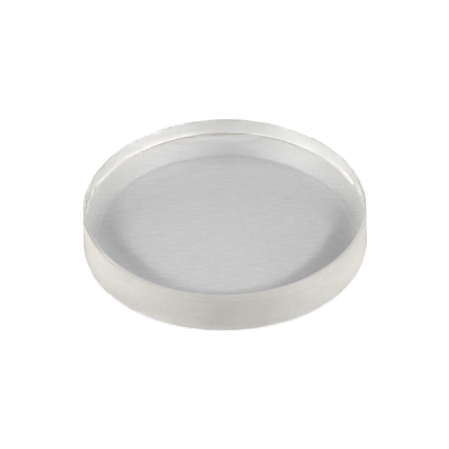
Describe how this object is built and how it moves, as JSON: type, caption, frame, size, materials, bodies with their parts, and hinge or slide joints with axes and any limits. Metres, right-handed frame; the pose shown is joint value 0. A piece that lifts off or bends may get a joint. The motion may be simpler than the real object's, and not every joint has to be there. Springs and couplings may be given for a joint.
{
  "type": "negative meniscus lens",
  "caption": "Round negative meniscus lens of clear glass, gently convex above and hollow below, with a ground edge and narrow bevels.",
  "frame": {"origin": "centre of the ring that the lens stands on, the edge of its hollow lower face", "axes": "+Z along the optical axis, out of the convex face; the lens is the same all round Z"},
  "size_m": [0.0254, 0.0254, 0.0043],
  "materials": {
    "optical_glass": "clear uncoated crown glass, both faces polished, edge and bevels fine ground to a warm white frost"
  },
  "bodies": {
    "root": {"meniscus_lens": "optical_glass"}
  },
  "joints": []
}
